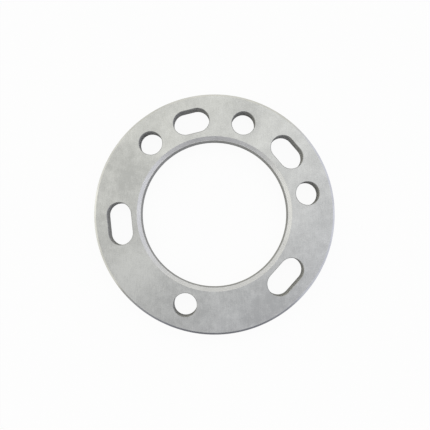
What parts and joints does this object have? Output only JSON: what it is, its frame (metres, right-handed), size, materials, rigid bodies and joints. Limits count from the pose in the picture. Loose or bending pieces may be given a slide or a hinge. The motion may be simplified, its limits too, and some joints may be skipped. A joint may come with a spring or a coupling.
{
  "type": "wheel spacer",
  "caption": "Flat aluminium ring that sits between hub and wheel to space them apart, with a wide bevelled bore and round and slotted stud holes on a common pitch circle.",
  "frame": {"origin": "on the bore axis at the plain back face", "axes": "+Z along the bore out of the bevelled front face; +Y through the round hole opposite the stud place that both patterns share"},
  "size_m": [0.1762, 0.1762, 0.0127],
  "materials": {
    "satin_aluminium": "satin, machined and tumbled"
  },
  "bodies": {
    "root": {"spacer_plate": "satin_aluminium"}
  },
  "joints": []
}
